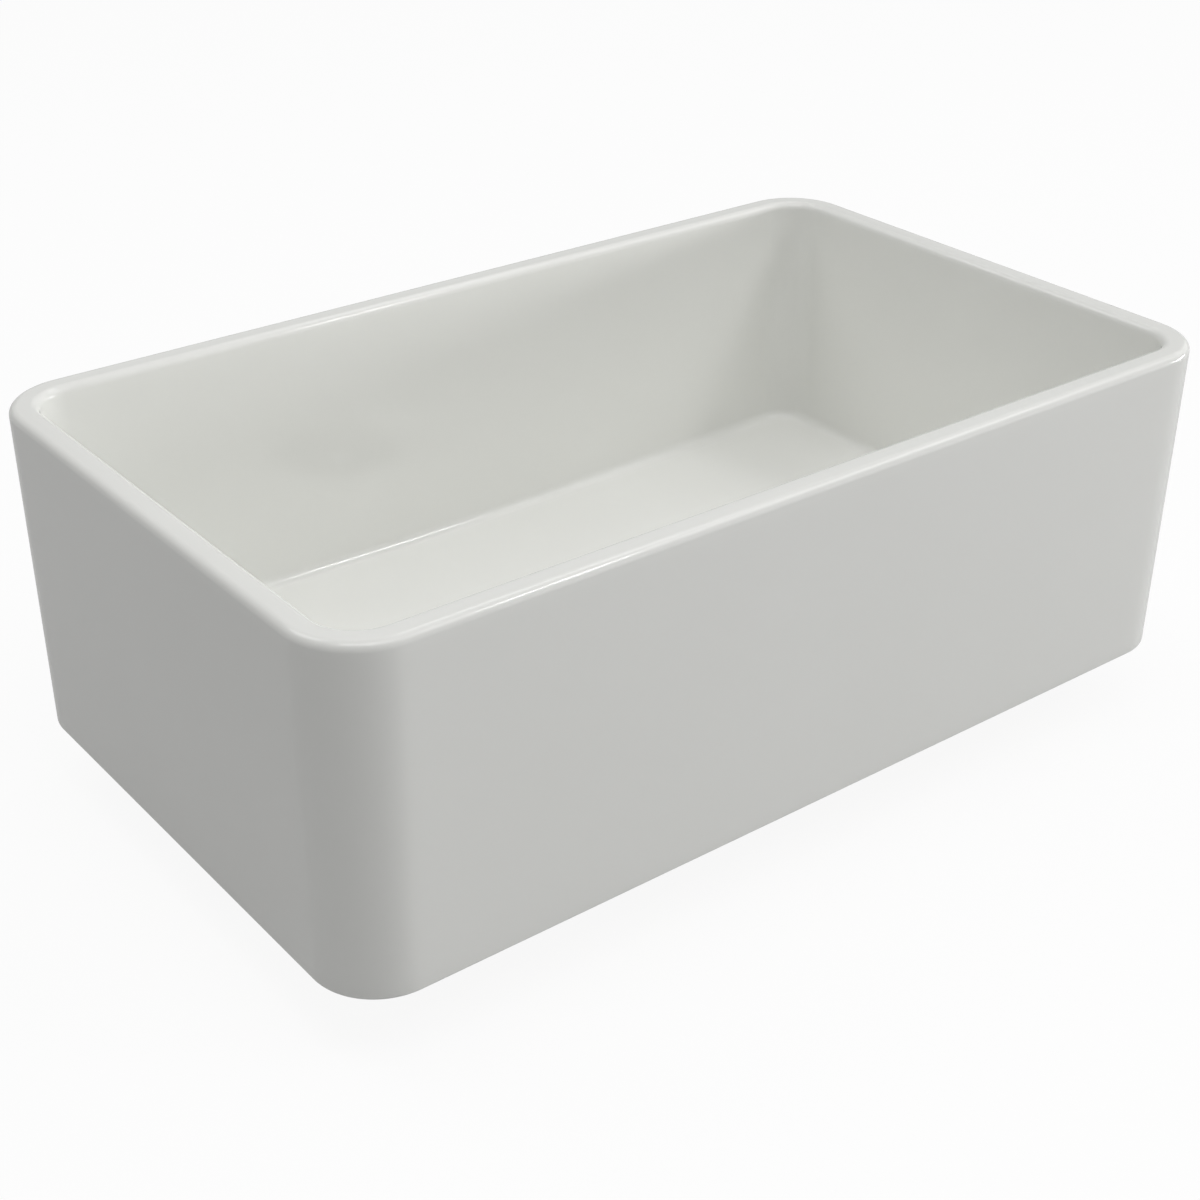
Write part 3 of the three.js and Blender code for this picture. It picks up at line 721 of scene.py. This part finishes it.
# A cap nut with a lip under its bore
def makeCouplingNut():
    n = couplingNut
    low, high = nodeSpan("coupling_nut")
    outside = n["bore"] + n["wall"]
    corners = [
        [n["hole"], low, 0.6], [outside, low, 1.3], [outside, high, 1.3], [n["bore"], high, 0.6],
        [n["bore"], low + n["lip"], 0.4], [n["hole"], low + n["lip"], 0.5],
    ]

    # half-round ribs, sqrt(rib^2 - distance^2), that fade out at both ends of the nut
    def reach(angle, radius, height):
        onWall = np.clip((radius - outside + 1) / 0.6, 0, 1)
        fromLow = np.clip((height - low - n["ribEnd"]) / n["ribFade"], 0, 1)
        fromHigh = np.clip((high - n["ribEnd"] - height) / n["ribFade"], 0, 1)
        ends = fromLow * fromHigh
        local = (angle * n["ribs"] / (2 * np.pi) + 0.5) % 1 - 0.5
        distance = np.abs(local) * 2 * np.pi / n["ribs"] * outside
        return onWall * ends * np.sqrt(np.clip(n["rib"] ** 2 - distance ** 2, 0, None))

    outline = denseOutline(softOutline(corners), n["rowStep"])
    points = turnedPoints(outline, n["columns"], reach)
    quads = gridFaces(len(outline), n["columns"], closeRows=True)
    return addPiece("couplingNut", points, quads, "coupling_nut")


makeCouplingNut()
print("waste fittings made")


# rings and rows of holes: centre, height of the band, number of holes, radius of a hole
basket = {
    "top": 37.6, "bottom": 31, "sheet": 1, "height": 29, "rim": 39.4, "rimThickness": 2, "fillet": 4,
    "postHole": 2.8, "columns": 144,
    "floorRings": [(10.5, 6, 12, 1.7), (16.5, 6, 12, 1.7), (22.5, 6, 18, 1.7)],
    "sideRows": [(9, 6.5, 18, 2.0), (15.5, 6.5, 18, 2.0), (22, 6.5, 18, 2.0)],
    "cellRows": 6, "cellSteps": [0, 0.35, 0.7, 0.9, 1.0],
}


# Cells with a round hole each, side by side round the basket. In a cell the rings run from its
# square border to the circle: point = border + t * (circle - border)
def holedBand(centre, tall, count, hole, columns, spanAt):
    perCell = columns // count
    upSteps = basket["cellRows"]
    side = np.linspace(-0.5, 0.5, perCell + 1)[:-1]
    rise = np.linspace(-0.5, 0.5, upSteps + 1)[:-1]
    border = np.concatenate([
        np.column_stack([side, np.full(perCell, -0.5)]),
        np.column_stack([np.full(upSteps, 0.5), rise]),
        np.column_stack([-side, np.full(perCell, 0.5)]),
        np.column_stack([np.full(upSteps, -0.5), -rise]),
    ])
    wide = spanAt(centre) * 2 * np.pi / count
    angle = np.arctan2(border[:, 1] * tall, border[:, 0] * wide)
    circle = np.column_stack([hole * np.cos(angle) / wide, hole * np.sin(angle) / tall])
    t = np.array(basket["cellSteps"])[:, None, None]
    cell = border[None] + t * (circle - border)[None]
    around = (np.arange(count)[:, None, None] + cell[None, ..., 0]) * 2 * np.pi / count
    along = centre + np.broadcast_to(cell[None, ..., 1] * tall, around.shape)
    rows, columnsOfCell = len(t), len(border)
    faces = [gridFaces(rows, columnsOfCell, first=i * rows * columnsOfCell) for i in range(count)]
    return around.ravel(), along.ravel(), np.concatenate(faces)


# A plain band of the basket between two places along its wall
def plainBand(places, columns, count):
    around = (np.arange(columns) / columns - 0.5 / count) * 2 * np.pi
    around = np.broadcast_to(around[None, :], (len(places), columns))
    along = np.broadcast_to(np.asarray(places, float)[:, None], around.shape)
    return around.ravel(), along.ravel(), gridFaces(len(places), columns)


# A cup of thin sheet: bands with and without holes are laid along its outside and then get the sheet's
# thickness
def makeCup():
    b = basket
    low, high = nodeSpan("basket_cup")
    flatEnd = b["bottom"] - b["fillet"]
    lean = math.atan2(b["top"] - b["bottom"], b["height"])
    # the outside of the cup as a path: floor, bend, wall. A place on it is a length from the axis
    bend = arc(flatEnd, low + b["fillet"], b["fillet"], -90, -math.degrees(lean), 9)
    path = np.concatenate([[[0, low]], bend, [[b["top"], low + b["height"]]]])
    lengths = np.concatenate([[0], np.cumsum(np.linalg.norm(np.diff(path, axis=0), axis=1))])

    # radius and height of a place on the path
    def onPath(along):
        return np.interp(along, lengths, path[:, 0]), np.interp(along, lengths, path[:, 1])

    # the radius at a place on the floor, and at a place on the wall
    def floorSpan(centre):
        return centre

    def wallSpan(centre):
        return np.interp(centre, lengths, path[:, 0])

    # a height over the base as a place on the path
    def placeOf(up):
        return np.interp(low + up, path[1:, 1], lengths[1:])

    bands = []
    columns = b["columns"]
    floorStart = b["floorRings"][0][0] - b["floorRings"][0][1] / 2
    bands.append(plainBand(np.linspace(b["postHole"], floorStart, 4), columns, 12))
    for centre, tall, count, hole in b["floorRings"]:
        bands.append(holedBand(centre, tall, count, hole, columns, floorSpan))
    floorEnd = b["floorRings"][-1][0] + b["floorRings"][-1][1] / 2
    firstRow = b["sideRows"][0]
    wallStart = placeOf(firstRow[0]) - firstRow[1] / 2
    bands.append(plainBand(np.linspace(floorEnd, wallStart, 14), columns, 18))
    place = wallStart
    for up, tall, count, hole in b["sideRows"]:
        bands.append(holedBand(place + tall / 2, tall, count, hole, columns, wallSpan))
        place += tall
    bands.append(plainBand(np.linspace(place, lengths[-1], 5), columns, 18))
    points, faces, count = [], [], 0
    for around, along, quads in bands:
        radius, height = onPath(along)
        points.append(np.column_stack([radius * np.cos(around), radius * np.sin(around), height]))
        faces.append(quads + count)
        count += len(around)
    inward = np.concatenate(faces)[:, ::-1]
    cup = addPiece("basketCup", np.concatenate(points), inward, "basket_cup", merge=0.02)
    thicken = cup.modifiers.new("sheet", "SOLIDIFY")
    thicken.thickness = b["sheet"] * millimetre
    thicken.offset = -1
    return cup


makeCup()


# The rolled rim is a second piece on the same node
def makeCupRim():
    b = basket
    low, high = nodeSpan("basket_cup")
    rimBase = high - b["rimThickness"]
    corners = [
        [b["top"] - b["sheet"] - 0.2, rimBase - 0.4, 0.5], [b["rim"], rimBase, 0.9],
        [b["rim"], high, 1.0], [b["top"] - b["sheet"] - 0.2, high, 0.9],
    ]
    return turnedPiece("basketRim", "basket_cup", corners, columns=160, steps=6)


makeCupRim()


stopper = {
    "bore": 2.8, "groove": 28.2, "grooveHalf": 1.2, "grooveDepth": 0.5,
    "edge": 33.8, "radius": 35, "drop": 0.4,
}


# A rubber disc with a blunt edge and a groove under it
def makeStopper():
    s = stopper
    low, high = nodeSpan("basket_stopper")
    corners = [
        [s["bore"], low, 0.4], [s["groove"] - s["grooveHalf"], low, 1],
        [s["groove"], low + s["grooveDepth"], 0.5], [s["groove"] + s["grooveHalf"], low, 0.5],
        [s["edge"], low, 1.2],
        [s["radius"], (low + high) / 2 - s["drop"], 0.8], [s["edge"], high, 1.2], [s["bore"], high, 0.4],
    ]
    return turnedPiece("basketStopper", "basket_stopper", corners, columns=160)


makeStopper()


post = {"radius": 2.5, "end": 3.9, "endHeight": 1.6, "collar": 4.4, "collarHeight": 4, "collarGap": 0.3}


# A rod with a peened lower end and a collar over the cup's floor
def makePost():
    p = post
    low, high = nodeSpan("basket_post")
    endTop = low + p["endHeight"]
    collarFoot = nodeSpan("basket_cup")[0] + basket["sheet"] + p["collarGap"]
    collarTop = collarFoot + p["collarHeight"]
    corners = [
        [0, low, 0], [p["end"], low, 1.1], [p["end"], endTop, 0.4], [p["radius"], endTop, 0.3],
        [p["radius"], collarFoot, 0.2], [p["collar"], collarFoot, 0.4], [p["collar"], collarTop, 0.8],
        [p["radius"], collarTop, 0.5], [p["radius"], high, 0.5], [0, high, 0],
    ]
    return turnedPiece("basketPost", "basket_post", corners, columns=64, onAxis=True)


makePost()


# the waist's rows are radius, height over the foot and round, and the top's are radius, depth under the
# top and round
knob = {
    "bore": 2.8, "boreDepth": 6,
    "waist": [(5.4, 0, 0.5), (5.6, 2.8, 3), (9.2, 4.4, 1.5), (10, 5.6, 0.8)],
    "top": [(10, 2, 0.8), (8.9, 0.9, 1.2), (6.6, 0.45, 0.5), (6.1, 0.75, 0.3), (5.6, 0.35, 0.5), (2.5, 0, 3)],
}


# Waisted knob with a domed top and a shallow ring turned into it
def makeKnob():
    k = knob
    low, high = nodeSpan("basket_knob")
    boreTop = low + k["boreDepth"]
    corners = [
        [0, boreTop, 0], [k["bore"], boreTop, 0.2], [k["bore"], low, 0.3],
        *[[radius, low + up, edge] for radius, up, edge in k["waist"]],
        *[[radius, high - down, edge] for radius, down, edge in k["top"]], [0, high, 0],
    ]
    return turnedPiece("basketKnob", "basket_knob", corners, columns=96, steps=6, onAxis=True)


makeKnob()


postNut = {"bore": 2.8, "apothem": 4.0, "coneStart": 0.1, "coneSlope": 1.6, "rowStep": 0.3, "columns": 144}


# Six flats: the radius is the apothem over the cosine of the angle from the flat's middle,
# and a cone cuts the corners
def makePostNut():
    n = postNut
    low, high = nodeSpan("post_nut")
    apothem = n["apothem"]
    corner = apothem / math.cos(math.pi / 6)
    corners = [[n["bore"], low, 0.3], [corner, low, 0.2], [corner, high, 0.2], [n["bore"], high, 0.3]]

    # how far the six flats and the two cones cut a row back from the corner's radius
    def reach(angle, radius, height):
        local = (angle + math.pi / 6) % (math.pi / 3) - math.pi / 6
        flat = apothem / np.cos(local)
        cone = apothem + n["coneStart"] + n["coneSlope"] * np.minimum(height - low, high - height)
        hexagon = np.minimum(flat, cone)
        return np.where(radius > apothem - 0.5, np.minimum(hexagon - corner, 0) * (radius / corner), 0)

    outline = denseOutline(softOutline(corners, 4), n["rowStep"])
    points = turnedPoints(outline, n["columns"], reach)
    quads = gridFaces(len(outline), n["columns"], closeRows=True)
    return addPiece("postNut", points, quads, "post_nut")


makePostNut()


guide = {"bore": 2.8, "foot": 3.8, "radius": 5, "taper": 1.8}


# A bush whose lower end is tapered, so that it finds the hub's bore
def makeGuide():
    g = guide
    low, high = nodeSpan("post_guide")
    corners = [
        [g["bore"], low, 0.3], [g["foot"], low, 0.5], [g["radius"], low + g["taper"], 1],
        [g["radius"], high, 1.2], [g["bore"], high, 0.3],
    ]
    return turnedPiece("postGuide", "post_guide", corners, columns=72)


makeGuide()
print("basket made")

stageLook = {
    "floorSize": 14.0, "drop": 0.0005, "floorTone": 0.5, "seenTone": 0.95, "grainScale": 3, "grain": 0.04,
    "glow": {"Is Camera Ray": 0.92, "Is Glossy Ray": 0.35, "Is Transmission Ray": 0.92},
}


# The floor carries the object's shadow, but most of what the camera sees of it is plain white.
# Seen from below it is clear, so that it doesn't hide the base
def makeFloor():
    made = Finish("studioFloor")
    seenMore = stageLook["seenTone"] - stageLook["floorTone"]
    tone = made.raysOf({"Is Camera Ray": seenMore}) + stageLook["floorTone"]
    grain = (made.noise(stageLook["grainScale"], 2) - 0.5) * stageLook["grain"] + tone
    colour = made.node("CombineColor", values={0: grain, 1: grain, 2: grain})
    matt = made.node("BsdfDiffuse", values={"Color": colour})
    white = made.node("Emission", values={"Color": (1, 1, 1, 1), "Strength": 1.0})
    above = made.node("MixShader", values={0: made.raysOf(stageLook["glow"]), 1: matt, 2: white})
    clear = made.node("BsdfTransparent")
    surface = made.node("MixShader", values={0: made.node("NewGeometry", output=6), 1: above, 2: clear})
    made.node("OutputMaterial", values={"Surface": surface})
    half = stageLook["floorSize"] / 2
    mesh = bpy.data.meshes.new("studioFloor")
    height = cadBox[0][2] - stageLook["drop"]
    corners = [(x * half, y * half, height) for x, y in [(-1, -1), (1, -1), (1, 1), (-1, 1)]]
    mesh.from_pydata(corners, [], [(0, 1, 2, 3)])
    mesh.materials.append(made.material)
    floor = bpy.data.objects.new("studioFloor", mesh)
    bpy.context.scene.collection.objects.link(floor)


makeFloor()


# A direction from an azimuth, 0 in front of the apron and turning towards +X, and an elevation, in degrees
def outwardTo(around, above):
    around, above = math.radians(around), math.radians(above)
    return Vector((math.sin(around) * math.cos(above), -math.cos(around) * math.cos(above), math.sin(above)))


# a soft brighter patch of the dome is a direction, a sharpness and a strength
worldLook = {
    "ambient": 0.225,
    "patches": [((165, 18), 3, 0.15)],
    "seen": 1.0,
}


# The world is a dim dome with soft brighter patches, strength * max(0, cosine) ^ sharpness,
# and shows as white to the camera
def makeWorld():
    world = bpy.data.worlds.new("studioWorld")
    bpy.context.scene.world = world
    world.use_nodes = True
    dome = Graph(world.node_tree)
    direction = dome.node("TexCoord", output=0)
    light = worldLook["ambient"]
    for toward, sharpness, strength in worldLook["patches"]:
        facing = dome.node(
            "VectorMath", {"operation": "DOT_PRODUCT"}, {0: direction, 1: outwardTo(*toward)}, output=1)
        lit = dome.node("Math", {"operation": "MAXIMUM"}, {0: facing, 1: 0.0})
        light = dome.node("Math", {"operation": "POWER"}, {0: lit, 1: sharpness}) * strength + light
    soft = dome.node("Background", values={"Color": (1, 1, 1, 1), "Strength": light})
    white = dome.node("Background", values={"Color": (1, 1, 1, 1), "Strength": worldLook["seen"]})
    mixed = dome.node("MixShader", values={0: dome.raysOf({"Is Camera Ray": 1.0}), 1: soft, 2: white})
    dome.node("OutputWorld", values={"Surface": mixed})


makeWorld()

lampColour = (1, 1, 1)
lampAim = Vector((0, 0, 0.15))  # a little over half way up the bowl

# softboxes, and three small lamps for the bright points: direction seen from the sink,
# distance, size and power
lamps = {
    "rightSoftbox": {"toward": (65, 5), "away": 5.0, "size": (2.5, 0.6), "power": 66},
    "frontSoftbox": {"toward": (40, 5), "away": 5.0, "size": (2.5, 0.6), "power": 9},
    "sideSoftbox": {"toward": (95, 20), "away": 5.0, "size": (2.5, 2.5), "power": 9},
    "keySoftbox": {"toward": (52, 44), "away": 5.0, "size": (3.6, 1.2), "power": 30},
    "overSoftbox": {"toward": (0, 60), "away": 5.0, "size": (2.5, 2.0), "power": 29},
    "leftSoftbox": {"toward": (-43, 73), "away": 5.0, "size": (2.5, 2.0), "power": 46},
    "rearSoftbox": {"toward": (-150, 55), "away": 5.0, "size": (2.5, 2.0), "power": 34},
    "backSoftbox": {"toward": (112, 58), "away": 5.0, "size": (2.6, 0.7), "power": 12},
    "keySpot": {"toward": (41, 44), "away": 4.8, "size": (0.5, 0.25), "power": 10},
    "leftSpot": {"toward": (-98, 36), "away": 5.0, "size": (0.3, 0.6), "power": 4},
    "topSpot": {"toward": (-84, 80), "away": 4.8, "size": (0.3, 0.3), "power": 4},
}


# Each lamp stands at aim + direction * distance and faces the aim
def makeLamps():
    for name, lamp in lamps.items():
        data = bpy.data.lights.new(name, "AREA")
        data.shape = "RECTANGLE"
        data.size, data.size_y = lamp["size"]
        data.energy = lamp["power"]
        data.color = lampColour
        made = bpy.data.objects.new(name, data)
        bpy.context.scene.collection.objects.link(made)
        outward = outwardTo(*lamp["toward"])
        made.location = lampAim + outward * lamp["away"]
        made.rotation_euler = outward.to_track_quat("Z", "Y").to_euler()


makeLamps()

# measured from the photograph's outline of the bowl: angles in degrees, distances in millimetres
shot = {
    "yaw": -37.953, "pitch": 29.091, "roll": 0.2595, "target": (-83.05, -82.35, 124.68),
    "distance": 1398.79, "focal": 2021.77, "frame": 1200,
}


# right, up and back make the camera's turn; back points from the target to the camera
def makeCamera():
    yaw, pitch, roll = (math.radians(shot[k]) for k in ("yaw", "pitch", "roll"))
    back = Vector((math.sin(yaw) * math.cos(pitch), -math.cos(yaw) * math.cos(pitch), math.sin(pitch)))
    level = Vector((math.cos(yaw), math.sin(yaw), 0))
    rise = back.cross(level)
    right = math.cos(roll) * level + math.sin(roll) * rise
    up = math.cos(roll) * rise - math.sin(roll) * level
    data = bpy.data.cameras.new("studioCamera")
    data.sensor_width = 36
    data.lens = shot["focal"] / shot["frame"] * data.sensor_width
    data.clip_end = 50
    made = bpy.data.objects.new("studioCamera", data)
    bpy.context.scene.collection.objects.link(made)
    place = (Vector(shot["target"]) + back * shot["distance"]) * millimetre
    made.matrix_world = Matrix.Translation(place) @ Matrix((right, up, back)).transposed().to_4x4()
    bpy.context.scene.camera = made


makeCamera()
bpy.context.scene.view_settings.view_transform = "Standard"
print("stage made")
